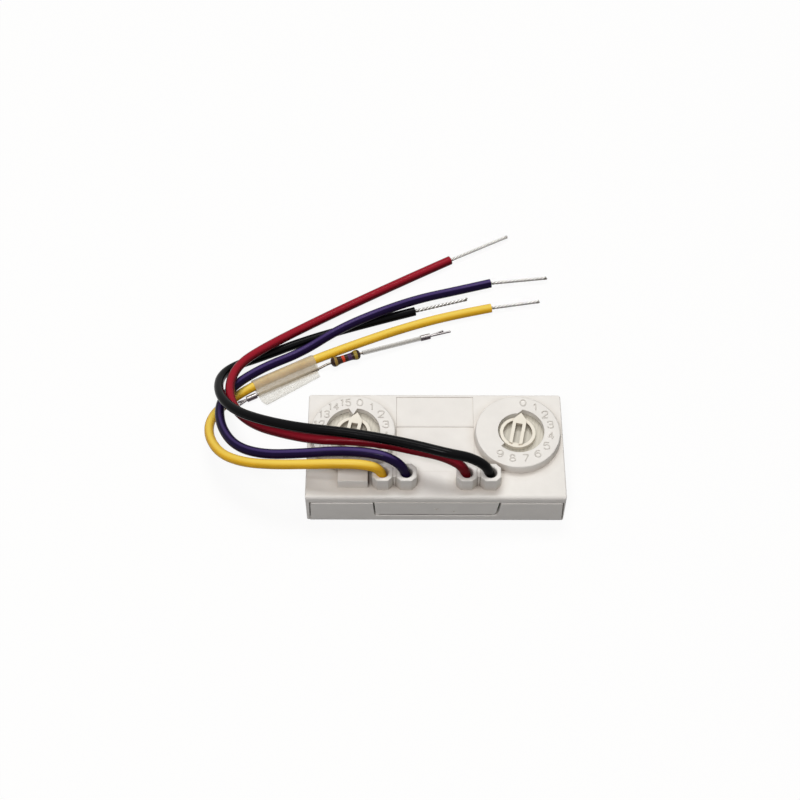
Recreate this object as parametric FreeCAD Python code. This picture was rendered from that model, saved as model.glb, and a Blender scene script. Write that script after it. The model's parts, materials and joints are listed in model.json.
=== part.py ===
import FreeCAD, Part
import math
import os

# Monitor module: a small snap-together plastic housing with two rotary address
# switches, a circuit board inside, four pre-stripped wire leads that leave through
# bosses on the cover, and an end-of-line resistor taped to the yellow lead.
# Units are millimetres. The origin is the middle of the underside of the housing,
# +X runs along its length, +Y to the back edge and +Z up.

# Housing, overall
LENGTH = 69.85
DEPTH = 33.6
HEIGHT = 16.5
COVER_TOP_Z = 11.8
TOP_THICK = 1.5
SIDE_WALL = 1.1
BACK_WALL = 1.2
FRONT_WALL = 1.2
CORNER_R = 0.8
EDGE_R = 0.35
FRONT_EDGE_R = 1.0
FOOT_EDGE_R = 0.8
LEDGE = 0.2
FRONT_Y = LEDGE - DEPTH / 2
BACK_Y = DEPTH / 2

# Front skirt of the cover, and the latch tongue that hangs from it
SKIRT_BOTTOM_Z = 9.5
TONGUE_TOP_X = (-16.55, 17.15)
TONGUE_BOTTOM_X = (-16.1, 16.3)
TONGUE_TOP_Z = 9.6
TONGUE_BOTTOM_Z = 3.5
TONGUE_THICK = 1.0
TONGUE_CORNER_R = 1.0
TONGUE_EDGE_R = 0.12
TONGUE_STEP = 0.15
TONGUE_DOTS = [(0.3, 6.5, 0.45), (5.0, 5.0, 0.3)]
TONGUE_DOT_DEPTH = 0.12

# Base tray
FLOOR_THICK = 1.4
BASE_WALL = 1.2
BASE_GAP = 0.3
TONGUE_SIDE_GAPS = (0.35, 0.55)
TONGUE_FOOT_GAP = 0.7
LIP_THICK = 0.35
SLOT_DEPTH = 0.4
TOE_GAP = 0.05
BASE_FRONT_EDGE_R = 0.15
BASE_BOTTOM_EDGE_R = 1.2
PLATE_X = 0.25
PLATE_TOP_WIDTH = 67.6
PLATE_BOTTOM_WIDTH = 68.1
PLATE_Y = -DEPTH / 2
STANDOFF_R = 1.7
STANDOFF_HEIGHT = 1.8
STANDOFF_INSET_X = 4.2
STANDOFF_INSET_Y = 3.2
PEG_R = 0.8
PEG_HEIGHT = 2.2
BACK_RIB_HEIGHT = 3.4

# Raised dial discs on the cover, and the openings over the knobs
DISC_R = 11.45
DISC_SIDE_GAP = 1.025
DISC_BACK_GAP = 2.3
DIAL_X = LENGTH / 2 - DISC_R - DISC_SIDE_GAP
DIAL_Y = DEPTH / 2 - DISC_R - DISC_BACK_GAP
DISC_RISE = 2.6
DISC_EDGE_R = 0.25
DISC_DRAFT = 0.35
DISC_PLATE = 1.8
POCKET_R = 8.2
OPENING_R = 7.45
TRAVEL_R = 6.95
TRAVEL_SHIFT = (0.25, 0.25)
REST_R = 5.6
REST_SHIFT = (0.2, 0.25)
STEP_ANGLE = 22.5
HALF_STEP = STEP_ANGLE / 2
STOP_MARGIN = 11.5
ONES_LAST = 9
TENS_LAST = 15
TOOTH_TIP_R = 5.4
TOOTH_HALF_WIDTH = 1.22

# Writing panel between the dials: two shallow boxes
PANEL_SIDE_GAP = 0.4
PANEL_WIDTH = 2 * (DIAL_X - DISC_R - PANEL_SIDE_GAP)
PANEL_SINK = 0.15
PANEL_BACK_Y = DEPTH / 2 - 0.8
PANEL_SPLIT_Y = DEPTH / 2 - 10.5
PANEL_FRONT_Y = FRONT_Y + 8.3
PANEL_RIB = 0.3

# Small raised block in front of the left dial
BLOCK_X = 0.25 - DIAL_X
BLOCK_WIDTH = 8.0
BLOCK_FRONT_Y = FRONT_Y + 3.7
BLOCK_EDGE_R = 0.25
BLOCK_DRAFT = 0.45

# Wire bosses: two pairs of bevelled posts, each with a bore
LEFT_PAIR_X = -11.05
RIGHT_PAIR_X = 11.4
BOSS_PITCH = 6.35
BOSS_ACROSS = 5.5
BOSS_FRONT_GAP = 2.55
BOSS_Y = FRONT_Y + BOSS_FRONT_GAP + BOSS_ACROSS / 2
BOSS_BEVEL = 1.3
BOSS_EDGE_R = 0.3
BORE_R = 1.65
BORE_LEAD_IN = 0.25
WEB_FRONT_SETBACK = 2.1
WEB_RIB_R = 0.65

# Circuit board
BOARD_THICK = 1.2
BOARD_SIDE_GAP = 0.825
BOARD_FRONT_GAP = 1.0
BOARD_BACK_GAP = 0.3
PEG_CLEARANCE = 0.1
SOLDER_R = 1.0
SOLDER_HEIGHT = 0.9
PIN_HOLE_CLEARANCE = 0.1

# Rotary switches
SWITCH_SIDE = 10.0
SWITCH_BODY_HEIGHT = 4.4
SWITCH_WALL = 0.9
SWITCH_FLOOR = 0.6
SWITCH_BEVEL = 0.8
LID_THICK = 0.9
COLLAR_R = 3.2
COLLAR_RISE = 1.5
SHAFT_R = 2.0
SHAFT_CLEARANCE = 0.05
ROTOR_R = 3.7
ROTOR_THICK = 1.2
ROTOR_LIFT = 0.5
ROTOR_PRESS = 0.1
CONTACT_DOTS = 4
CONTACT_DOT_R = 0.45
CONTACT_DOT_RING_R = 2.9
CONTACT_DOT_HEIGHT = 0.2
PIN_R = 0.3
PIN_STICKOUT = 0.6
PIN_PITCH = 2.54
PINS_FRONT = 3
PINS_BACK = 2

# Knobs
FLANGE_R = 7.7
FLANGE_THICK = 0.8
KNOB_RUN_GAP = 0.3
KNOB_SINK = 0.1
RING_SINK = 0.5
RING_R = 4.85
RING_WALL = 0.9
BAR_WIDTH = 0.95
BAR_OFFSET = 1.35
BAR_OVERLAP = 0.1
ARROW_TIP_R = 6.3
ARROW_SHOULDER_R = 3.95
ARROW_HALF_WIDTH = 1.83
ARROW_BACK_R = 2.7
SLOT_FRONT_R = 3.4
HOLLOW_DEPTH = 2.2

# Wires
WIRE_R = 1.35
WIRE_START_DEPTH = 4.5
TAIL_FOOT_LIFT = 2.0
CORE_R = 0.5
CORE_STICKOUT = 0.5
CHORD_SHARE = 0.45

# Each route lists the corners of one lead, from inside its boss to the end of its
# insulation. The arcs round each corner are worked out from the runs.
WIRE_START_Z = HEIGHT - WIRE_START_DEPTH
BLACK_HOLE = (RIGHT_PAIR_X + BOSS_PITCH / 2, BOSS_Y, WIRE_START_Z)
RED_HOLE = (RIGHT_PAIR_X - BOSS_PITCH / 2, BOSS_Y, WIRE_START_Z)
VIOLET_HOLE = (LEFT_PAIR_X + BOSS_PITCH / 2, BOSS_Y, WIRE_START_Z)
YELLOW_HOLE = (LEFT_PAIR_X - BOSS_PITCH / 2, BOSS_Y, WIRE_START_Z)

BLACK_ROUTE = [
    BLACK_HOLE,
    (BLACK_HOLE[0], BOSS_Y, 17.8),
    (9.6, -10.2, 21.9),
    (2.8, -9.9, 23.7),
    (-6.0, -7.1, 23.5),
    (-16.0, -4.4, 22.9),
    (-26.0, -2.4, 22.5),
    (-36.5, -0.6, 21.6),
    (-47.0, 3.5, 19.0),
    (-55.0, 9.0, 15.4),
    (-60.2, 17.1, 11.1),
    (-61.2, 26.3, 6.4),
    (-57.6, 32.9, 2.9),
    (-49.5, 37.3, 1.4),
    (-38.5, 42.7, 1.4),
    (-21.8, 48.8, 1.4),
    (-5.3, 54.0, 1.4),
]
RED_ROUTE = [
    RED_HOLE,
    (RED_HOLE[0], BOSS_Y, 18.2),
    (2.4, -9.0, 20.6),
    (-5.5, -6.6, 19.9),
    (-14.0, -4.2, 19.4),
    (-22.5, -3.0, 19.1),
    (-32.0, -2.9, 19.2),
    (-40.8, 0.2, 17.2),
    (-49.7, 5.4, 13.6),
    (-56.0, 13.1, 10.3),
    (-58.1, 22.2, 8.4),
    (-55.9, 30.5, 6.9),
    (-49.2, 37.5, 5.2),
    (-37.5, 47.5, 2.3),
    (-15.5, 61.7, 1.4),
    (5.5, 73.6, 1.4),
]
VIOLET_ROUTE = [
    VIOLET_HOLE,
    (VIOLET_HOLE[0], BOSS_Y, 18.0),
    (-13.0, -9.2, 21.1),
    (-19.6, -7.7, 20.8),
    (-27.6, -6.9, 19.9),
    (-36.0, -6.9, 18.6),
    (-46.4, -5.6, 16.0),
    (-54.4, -1.0, 12.8),
    (-59.2, 7.5, 9.7),
    (-60.5, 16.9, 6.9),
    (-57.2, 24.7, 4.7),
    (-49.0, 32.3, 3.1),
    (-38.5, 38.7, 1.4),
    (-27.5, 45.1, 4.5),
    (-15.5, 51.3, 4.8),
    (-4.0, 57.6, 2.9),
    (7.0, 61.7, 1.4),
    (17.5, 64.7, 1.4),
]
YELLOW_ROUTE = [
    YELLOW_HOLE,
    (YELLOW_HOLE[0], BOSS_Y, 17.8),
    (-19.4, -11.3, 20.4),
    (-27.0, -10.8, 19.8),
    (-35.0, -10.3, 18.7),
    (-43.5, -9.2, 16.7),
    (-52.0, -6.5, 13.5),
    (-59.0, -1.3, 9.7),
    (-63.1, 7.3, 5.9),
    (-62.9, 15.5, 2.9),
    (-57.9, 22.1, 1.6),
    (-50.5, 27.5, 1.7),
    (-35.0, 35.9, 1.7),
    (-17.5, 44.1, 1.4),
    (-5.5, 48.9, 1.4),
    (6.0, 52.6, 1.4),
    (17.4, 55.3, 1.4),
]
# Free ends of the bare conductors
BLACK_TIP = (10.4, 58.0, 2.2)
RED_TIP = (23.3, 83.1, 1.4)
VIOLET_TIP = (34.7, 66.8, 1.4)
YELLOW_TIP = (31.9, 57.8, 1.4)

# Resistor and its leads, lying on the table beside the yellow lead
RESISTOR_LEFT = (-29.7, 34.9, 1.6)
RESISTOR_RIGHT = (-21.3, 38.0, 2.0)
RESISTOR_CAP_R = 1.5
RESISTOR_WAIST_R = 1.1
RESISTOR_CAP_LENGTH = 2.2
RESISTOR_BEVEL = 0.7
LEAD_R = 0.35
LEAD_INSERT = 0.6
LEAD_NECK = 1.2
LEAD_STICKOUT = 0.5
SLEEVE_R = 0.68
SLEEVE_BORE_CLEARANCE = 0.03
SLEEVE_SETBACK = 0.7
SLEEVE_END_GAP = 0.05
SLEEVE_END = (-3.6, 44.2, 1.1)
RIGHT_SPLICE_END = (-0.9, 45.1, 1.0)
SPLICE_R = 0.85
PRONG_R = 0.3
PRONG_INSERT = 0.4
TABLE_GAP = 0.05
RIGHT_PRONG_TIPS = [(3.0, 47.2, 0.8), (5.2, 47.0, 0.8)]
LEFT_SPLICE_LENGTH = 3.0
LEFT_PRONG_LENGTH = 2.6
LEFT_PRONG_SPREAD = 0.5

# Adhesive tape folded round the yellow lead and the resistor's left lead
TAPE_LENGTH = 19.4
TAPE_THICK = 0.2
TAPE_CLEARANCE = 0.1
TAPE_START_X = -51.8
TAPE_LEAD_OFFSET = 3.0
TAPE_LEAD_Z = 0.8
FLAG_WIDTH = 3.2
FLAG_THICK = 0.3
FLAG_START_SLANT = 0.9
FLAG_END_SETBACK = 0.8
FLAG_END_RISE = 0.8

# Places worked out from the sizes above
COVER_INNER_Z = COVER_TOP_Z - TOP_THICK
DISC_TOP_Z = COVER_TOP_Z + DISC_RISE
POCKET_TOP_Z = DISC_TOP_Z - DISC_PLATE
INNER_X = LENGTH / 2 - SIDE_WALL
BASE_BACK_Y = BACK_Y - BACK_WALL - BASE_GAP
BASE_X = INNER_X - BASE_GAP
BOARD_LENGTH = 2 * (BASE_X - BOARD_SIDE_GAP)
BOARD_FRONT_Y = FRONT_Y + BASE_WALL + BOARD_FRONT_GAP
BOARD_BACK_Y = BASE_BACK_Y - BASE_WALL / 2 - BOARD_BACK_GAP
BOARD_DEPTH = BOARD_BACK_Y - BOARD_FRONT_Y
BOARD_Y = (BOARD_FRONT_Y + BOARD_BACK_Y) / 2
BOARD_BOTTOM_Z = FLOOR_THICK + STANDOFF_HEIGHT
BOARD_TOP_Z = BOARD_BOTTOM_Z + BOARD_THICK
SWITCH_TOP_Z = BOARD_TOP_Z + SWITCH_BODY_HEIGHT
LID_TOP_Z = SWITCH_TOP_Z + LID_THICK
COLLAR_TOP_Z = LID_TOP_Z + COLLAR_RISE
FLANGE_TOP_Z = POCKET_TOP_Z - KNOB_RUN_GAP
FLANGE_BOTTOM_Z = FLANGE_TOP_Z - FLANGE_THICK
KNOB_TOP_Z = DISC_TOP_Z - KNOB_SINK
RING_TOP_Z = DISC_TOP_Z - RING_SINK
BASE_TOP_Z = SKIRT_BOTTOM_Z - BASE_GAP
HOLLOW_Z = KNOB_TOP_Z - HOLLOW_DEPTH
ROTOR_BOTTOM_Z = BOARD_TOP_Z + SWITCH_FLOOR + ROTOR_LIFT
TAIL_FOOT_Z = BOARD_TOP_Z + TAIL_FOOT_LIFT
STANDOFFS = [
    (sx * (BOARD_LENGTH / 2 - STANDOFF_INSET_X), BOARD_Y + sy * (BOARD_DEPTH / 2 - STANDOFF_INSET_Y))
    for sx in (-1, 1)
    for sy in (-1, 1)
]
DIALS = {"tens": -DIAL_X, "ones": DIAL_X}
HOLES = {"black": BLACK_HOLE, "red": RED_HOLE, "violet": VIOLET_HOLE, "yellow": YELLOW_HOLE}
ROUTES = {"black": BLACK_ROUTE, "red": RED_ROUTE, "violet": VIOLET_ROUTE, "yellow": YELLOW_ROUTE}
TIPS = {"black": BLACK_TIP, "red": RED_TIP, "violet": VIOLET_TIP, "yellow": YELLOW_TIP}
OVERCUT = 1.0


def vec(x, y, z):
    return FreeCAD.Vector(x, y, z)


def box(x0, x1, y0, y1, z0, z1):
    return Part.makeBox(x1 - x0, y1 - y0, z1 - z0, vec(x0, y0, z0))


def centred_box(x, y, z0, width, depth, height):
    return box(x - width / 2, x + width / 2, y - depth / 2, y + depth / 2, z0, z0 + height)


def post(x, y, z0, z1, radius):
    return Part.makeCylinder(radius, z1 - z0, vec(x, y, z0))


def rod(start, end, radius):
    a, b = vec(*start), vec(*end)
    return Part.makeCylinder(radius, (b - a).Length, a, b - a)


def prism(points, z0, z1):
    """A straight-sided solid over a list of (x, y) corners."""
    corners = [vec(x, y, z0) for x, y in points]
    face = Part.Face(Part.makePolygon(corners + corners[:1]))
    return face.extrude(vec(0, 0, z1 - z0))


def polar(x, y, radius, clockwise_angle):
    """A point at a dial angle, which counts clockwise from the back."""
    a = math.radians(clockwise_angle)
    return (x + radius * math.sin(a), y + radius * math.cos(a))


def edges_where(shape, test):
    """The edges whose two ends both pass a test of (x, y, z)."""
    found = []
    for edge in shape.Edges:
        if all(test(v.X, v.Y, v.Z) for v in edge.Vertexes):
            found.append(edge)
    return found


def near(a, b):
    return abs(a - b) < 1e-4


def upright(edge):
    bounds = edge.BoundBox
    return bounds.XLength < 1e-4 and bounds.YLength < 1e-4 and bounds.ZLength > 0.5


def save(node, *solids):
    """Writes one node, with all its solids."""
    shape = solids[0] if len(solids) == 1 else Part.makeCompound(list(solids))
    shape.exportStep("parts/%s.step" % node)
    print("%-22s solids %2d volume %9.3f valid %s" % (node, len(shape.Solids), shape.Volume, shape.isValid()))


def rounded_shell():
    """The cover's outer block: rounded uprights, softened top edges, rounder front edges."""
    block = box(-LENGTH / 2, LENGTH / 2, FRONT_Y, BACK_Y, 0, COVER_TOP_Z)
    block = block.makeFillet(CORNER_R, [e for e in block.Edges if upright(e)])
    top = [e for e in block.Edges if near(e.BoundBox.ZMin, COVER_TOP_Z)]
    block = block.makeFillet(EDGE_R, top)
    roll = box(-LENGTH, LENGTH, FRONT_Y, BACK_Y + OVERCUT, 0, COVER_TOP_Z)
    for z_edge, radius in ((COVER_TOP_Z, FRONT_EDGE_R), (0, FOOT_EDGE_R)):
        front = edges_where(roll, lambda x, y, z: near(y, FRONT_Y) and near(z, z_edge))
        roll = roll.makeFillet(radius, front)
    return block.common(roll)


def latch_tongue(side_gaps, foot_gap, front_y, back_y):
    """The tongue's outline, grown by its gaps, from front_y to back_y."""
    left, right = side_gaps
    low = TONGUE_BOTTOM_Z - foot_gap
    high = SKIRT_BOTTOM_Z + FRONT_WALL
    top = [(TONGUE_TOP_X[0] - left, high), (TONGUE_TOP_X[1] + right, high)]
    foot = [(TONGUE_BOTTOM_X[1] + right, low), (TONGUE_BOTTOM_X[0] - left, low)]
    ring = [vec(x, front_y, z) for x, z in top + foot]
    face = Part.Face(Part.makePolygon(ring + ring[:1]))
    solid = face.extrude(vec(0, back_y - front_y, 0))
    low_edges = edges_where(solid, lambda x, y, z: near(z, low))
    sides = [e for e in low_edges if e.BoundBox.XLength < 1e-4]
    return solid.makeFillet(TONGUE_CORNER_R + left, sides)


def cover_tongue():
    """The tongue itself: a step proud of the skirt, soft front edges, two moulding dots."""
    face_y = FRONT_Y - TONGUE_STEP
    tongue = latch_tongue((0, 0), 0, face_y, FRONT_Y + TONGUE_THICK)
    tongue = tongue.cut(box(-LENGTH, LENGTH, face_y - OVERCUT, FRONT_Y, TONGUE_TOP_Z, HEIGHT))
    rim = edges_where(tongue, lambda x, y, z: near(y, face_y))
    tongue = tongue.makeFillet(TONGUE_EDGE_R, rim)
    dots = []
    for x, z, r in TONGUE_DOTS:
        mouth = vec(x, face_y - OVERCUT, z)
        dots.append(Part.makeCylinder(r, TONGUE_DOT_DEPTH + OVERCUT, mouth, vec(0, 1, 0)))
    return tongue.cut(dots)


def front_plate(gap, back_y):
    """The base's front plate, grown by a gap: a little wider at its foot, a ledge proud of the skirt."""
    top, bottom = PLATE_TOP_WIDTH / 2 + gap, PLATE_BOTTOM_WIDTH / 2 + gap
    corners = [(-bottom, 0), (bottom, 0), (top, BASE_TOP_Z + gap), (-top, BASE_TOP_Z + gap)]
    ring = [vec(PLATE_X + x, PLATE_Y, z) for x, z in corners]
    return Part.Face(Part.makePolygon(ring + ring[:1])).extrude(vec(0, back_y - PLATE_Y, 0))


def boss_pair(pair_x):
    """Two bevelled posts joined by a web with a half-round rib."""
    half = BOSS_ACROSS / 2
    cut = half - BOSS_BEVEL
    back = [(half, cut), (cut, half), (-cut, half), (-half, cut)]
    outline = back + [(-u, -v) for u, v in back]
    foot, web_top = COVER_INNER_Z, HEIGHT - BOSS_EDGE_R
    posts = []
    for side in (-1, 1):
        x = pair_x + side * BOSS_PITCH / 2
        solid = prism([(x + u, BOSS_Y + v) for u, v in outline], foot, HEIGHT)
        rim = [e for e in solid.Edges if near(e.BoundBox.ZMin, HEIGHT)]
        posts.append(solid.makeFillet(BOSS_EDGE_R, rim))
    web_front = BOSS_Y - half + WEB_FRONT_SETBACK
    web_half = BOSS_PITCH / 2 - half + BOSS_BEVEL / 2
    web = box(pair_x - web_half, pair_x + web_half, web_front, BOSS_Y + cut, foot, web_top)
    rib = post(pair_x, web_front, foot, web_top, WEB_RIB_R)
    return posts[0].fuse([posts[1], web, rib])


def boss_bores():
    """The four lead bores, each a little wider at its mouth."""
    bores = []
    for x, y, z in HOLES.values():
        bores.append(post(x, y, COVER_INNER_Z - OVERCUT, HEIGHT + OVERCUT, BORE_R))
        foot = vec(x, y, HEIGHT - BORE_LEAD_IN)
        bores.append(Part.makeCone(BORE_R, BORE_R + 2 * BORE_LEAD_IN, 2 * BORE_LEAD_IN, foot))
    return bores


def dial_disc(x):
    """A raised disc whose wall leans out a little towards its foot."""
    foot_r = DISC_R + DISC_DRAFT
    disc = Part.makeCone(foot_r, DISC_R, DISC_RISE, vec(x, DIAL_Y, COVER_TOP_Z))
    disc = disc.fuse(post(x, DIAL_Y, COVER_INNER_Z, COVER_TOP_Z, foot_r))
    rim = [e for e in disc.Edges if near(e.BoundBox.ZMin, DISC_TOP_Z)]
    return disc.makeFillet(DISC_EDGE_R, rim)


def dial_pocket(x):
    """The room under a disc for the knob's flange."""
    return post(x, DIAL_Y, COVER_INNER_Z - OVERCUT, POCKET_TOP_Z, POCKET_R)


def tens_opening():
    """A round opening with one tooth that stops the pointer between the last mark and 0."""
    x = DIALS["tens"]
    z0, z1 = POCKET_TOP_Z - OVERCUT, DISC_TOP_Z + OVERCUT
    root = OPENING_R + OVERCUT
    tip = polar(x, DIAL_Y, TOOTH_TIP_R, 0)
    tooth_slope = (OPENING_R - TOOTH_TIP_R) / TOOTH_HALF_WIDTH
    half = (root - TOOTH_TIP_R) / tooth_slope
    tooth = prism([tip, (x + half, DIAL_Y + root), (x - half, DIAL_Y + root)], z0, z1)
    return post(x, DIAL_Y, z0, z1, OPENING_R).cut(tooth)


def ones_opening():
    """A small round opening, widened over the arc that the pointer travels."""
    x = DIALS["ones"]
    z0, z1 = POCKET_TOP_Z - OVERCUT, DISC_TOP_Z + OVERCUT
    start = HALF_STEP
    end = HALF_STEP + ONES_LAST * STEP_ANGLE + STOP_MARGIN
    arrow_slope = math.degrees(math.atan2(ARROW_HALF_WIDTH, ARROW_TIP_R - ARROW_SHOULDER_R))
    apex = polar(x, DIAL_Y, TRAVEL_R, start)
    flank = 2 * ARROW_HALF_WIDTH / math.sin(math.radians(arrow_slope))
    flank_end = polar(apex[0], apex[1], flank, start + 180 + arrow_slope)
    far = OPENING_R * 2
    spread = [polar(x, DIAL_Y, far, start + k * (end - start) / 6) for k in range(7)]
    wedge = prism([(x, DIAL_Y), flank_end, apex] + spread, z0, z1)
    shift_x, shift_y = TRAVEL_SHIFT
    travelled = post(x + shift_x, DIAL_Y + shift_y, z0, z1, TRAVEL_R).common(wedge)
    rest_x, rest_y = REST_SHIFT
    return post(x + rest_x, DIAL_Y + rest_y, z0, z1, REST_R).fuse(travelled)


def writing_panel():
    """The two shallow boxes between the dials."""
    z0, z1 = COVER_TOP_Z - PANEL_SINK, COVER_TOP_Z + OVERCUT
    half = PANEL_WIDTH / 2
    back = box(-half, half, PANEL_SPLIT_Y + PANEL_RIB / 2, PANEL_BACK_Y, z0, z1)
    front = box(-half, half, PANEL_FRONT_Y, PANEL_SPLIT_Y - PANEL_RIB / 2, z0, z1)
    return [back, front]


def label_block():
    """The small raised block that joins the left disc to the front."""
    back = DIAL_Y - POCKET_R
    foot = BLOCK_FRONT_Y - BLOCK_DRAFT
    top_edge = (BLOCK_FRONT_Y, DISC_TOP_Z)
    side = [(back, COVER_INNER_Z), (foot, COVER_INNER_Z), (foot, COVER_TOP_Z), top_edge, (back, DISC_TOP_Z)]
    ring = [vec(BLOCK_X - BLOCK_WIDTH / 2, y, z) for y, z in side]
    block = Part.Face(Part.makePolygon(ring + ring[:1])).extrude(vec(BLOCK_WIDTH, 0, 0))
    front_top = edges_where(block, lambda x, y, z: near(z, DISC_TOP_Z) and y < back - 1e-3)
    return block.makeFillet(BLOCK_EDGE_R, front_top)


def cover():
    hollow = box(-INNER_X, INNER_X, FRONT_Y + FRONT_WALL, BACK_Y - BACK_WALL, -OVERCUT, COVER_INNER_Z)
    skirt_back_y = FRONT_Y + FRONT_WALL + OVERCUT
    below_skirt = box(-INNER_X, INNER_X, FRONT_Y - OVERCUT, skirt_back_y, -OVERCUT, SKIRT_BOTTOM_Z)
    plate_room = front_plate(BASE_GAP, FRONT_Y + BASE_WALL + BASE_GAP)
    shell = rounded_shell().cut([hollow, below_skirt, plate_room] + writing_panel())
    raised = [dial_disc(x) for x in DIALS.values()] + [label_block()]
    raised += [boss_pair(LEFT_PAIR_X), boss_pair(RIGHT_PAIR_X)]
    raised.append(cover_tongue())
    whole = shell.fuse(raised)
    cuts = [dial_pocket(x) for x in DIALS.values()] + [tens_opening(), ones_opening()]
    return whole.cut(cuts + boss_bores()).removeSplitter()


def base_toe():
    """A low strip that closes the foot of the slots beside the front plate."""
    strip = box(-LENGTH, LENGTH, PLATE_Y + SLOT_DEPTH, FRONT_Y + BASE_WALL, 0, FLOOR_THICK)
    return front_plate(BASE_GAP - TOE_GAP, FRONT_Y + BASE_WALL).common(strip)


def base():
    floor = box(-BASE_X, BASE_X, FRONT_Y + BASE_WALL, BASE_BACK_Y, 0, FLOOR_THICK)
    front = front_plate(0, FRONT_Y + BASE_WALL)
    foot = edges_where(front, lambda x, y, z: near(y, PLATE_Y) and near(z, 0))
    front = front.makeFillet(BASE_BOTTOM_EDGE_R, foot)
    behind_y = FRONT_Y + 2 * BASE_WALL
    slot = latch_tongue(TONGUE_SIDE_GAPS, TONGUE_FOOT_GAP, PLATE_Y - OVERCUT, behind_y)
    inner_x = [x - math.copysign(TONGUE_CORNER_R, x) for x in TONGUE_BOTTOM_X]
    channel = box(inner_x[0], inner_x[1], PLATE_Y + LIP_THICK, behind_y, FLOOR_THICK, TONGUE_BOTTOM_Z)
    front = front.cut([slot, channel])
    rim = edges_where(front, lambda x, y, z: near(y, PLATE_Y) and z > FLOOR_THICK)
    front = front.makeFillet(BASE_FRONT_EDGE_R, rim)
    rib_top = FLOOR_THICK + BACK_RIB_HEIGHT
    back = box(-BASE_X, BASE_X, BASE_BACK_Y - BASE_WALL / 2, BASE_BACK_Y, 0, rib_top)
    posts = []
    for x, y in STANDOFFS:
        posts.append(post(x, y, 0, BOARD_BOTTOM_Z, STANDOFF_R))
        posts.append(post(x, y, 0, BOARD_BOTTOM_Z + PEG_HEIGHT, PEG_R))
    return floor.fuse([front, back, base_toe()] + posts).removeSplitter()


def switch_pin_places(x):
    """Three pins along the front of a switch and two along the back."""
    row_y = SWITCH_SIDE / 2 - SWITCH_BEVEL - PIN_R
    places = []
    for k in range(PINS_FRONT):
        places.append((x + (k - (PINS_FRONT - 1) / 2) * PIN_PITCH, DIAL_Y - row_y))
    for k in range(PINS_BACK):
        places.append((x + (k - (PINS_BACK - 1) / 2) * 2 * PIN_PITCH, DIAL_Y + row_y))
    return places


def all_pin_places():
    return [p for x in DIALS.values() for p in switch_pin_places(x)]


def circuit_board():
    board = centred_box(0, BOARD_Y, BOARD_BOTTOM_Z, BOARD_LENGTH, BOARD_DEPTH, BOARD_THICK)
    z0, z1 = BOARD_BOTTOM_Z - OVERCUT, BOARD_TOP_Z + OVERCUT
    holes = [post(x, y, z0, z1, PEG_R + PEG_CLEARANCE) for x, y in STANDOFFS]
    holes += [post(x, y, z0, z1, CORE_R + PIN_HOLE_CLEARANCE) for x, y, z in HOLES.values()]
    holes += [post(x, y, z0, z1, PIN_R + PIN_HOLE_CLEARANCE) for x, y in all_pin_places()]
    return board.cut(holes)


def solder_joints():
    """A small cone under the board at every wire and switch pin."""
    joints = []
    places = [(x, y, CORE_R) for x, y, z in HOLES.values()] + [(x, y, PIN_R) for x, y in all_pin_places()]
    for x, y, r in places:
        foot = vec(x, y, BOARD_BOTTOM_Z - SOLDER_HEIGHT)
        joints.append(Part.makeCone(r, r + SOLDER_R / 2, SOLDER_HEIGHT, foot))
    return joints


def switch_body(x):
    """The switch's open-topped case."""
    case = centred_box(x, DIAL_Y, BOARD_TOP_Z, SWITCH_SIDE, SWITCH_SIDE, SWITCH_BODY_HEIGHT)
    case = case.makeChamfer(SWITCH_BEVEL, [e for e in case.Edges if upright(e)])
    return case.cut(post(x, DIAL_Y, BOARD_TOP_Z + SWITCH_FLOOR, SWITCH_TOP_Z + OVERCUT, SWITCH_SIDE / 2 - SWITCH_WALL))


def switch_lid(x):
    """The lid that closes the case, with a collar round the knob's shaft."""
    lid = centred_box(x, DIAL_Y, SWITCH_TOP_Z, SWITCH_SIDE, SWITCH_SIDE, LID_THICK)
    lid = lid.makeChamfer(SWITCH_BEVEL, [e for e in lid.Edges if upright(e)])
    collar = post(x, DIAL_Y, SWITCH_TOP_Z, min(COLLAR_TOP_Z, FLANGE_BOTTOM_Z - KNOB_RUN_GAP), COLLAR_R)
    bore = post(x, DIAL_Y, SWITCH_TOP_Z - OVERCUT, COLLAR_TOP_Z + OVERCUT, SHAFT_R + SHAFT_CLEARANCE)
    return lid.fuse(collar).cut(bore)


def contact_rotor(x):
    """The disc on the foot of the shaft, with contact dots under it."""
    rotor = post(x, DIAL_Y, ROTOR_BOTTOM_Z, ROTOR_BOTTOM_Z + ROTOR_THICK, ROTOR_R)
    rotor = rotor.cut(post(x, DIAL_Y, ROTOR_BOTTOM_Z - OVERCUT, ROTOR_BOTTOM_Z + 2 * OVERCUT, SHAFT_R - ROTOR_PRESS))
    dots = []
    for k in range(CONTACT_DOTS):
        dx, dy = polar(x, DIAL_Y, CONTACT_DOT_RING_R, k * 360 / CONTACT_DOTS)
        dots.append(post(dx, dy, ROTOR_BOTTOM_Z - CONTACT_DOT_HEIGHT, ROTOR_BOTTOM_Z, CONTACT_DOT_R))
    return rotor.fuse(dots)


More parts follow.
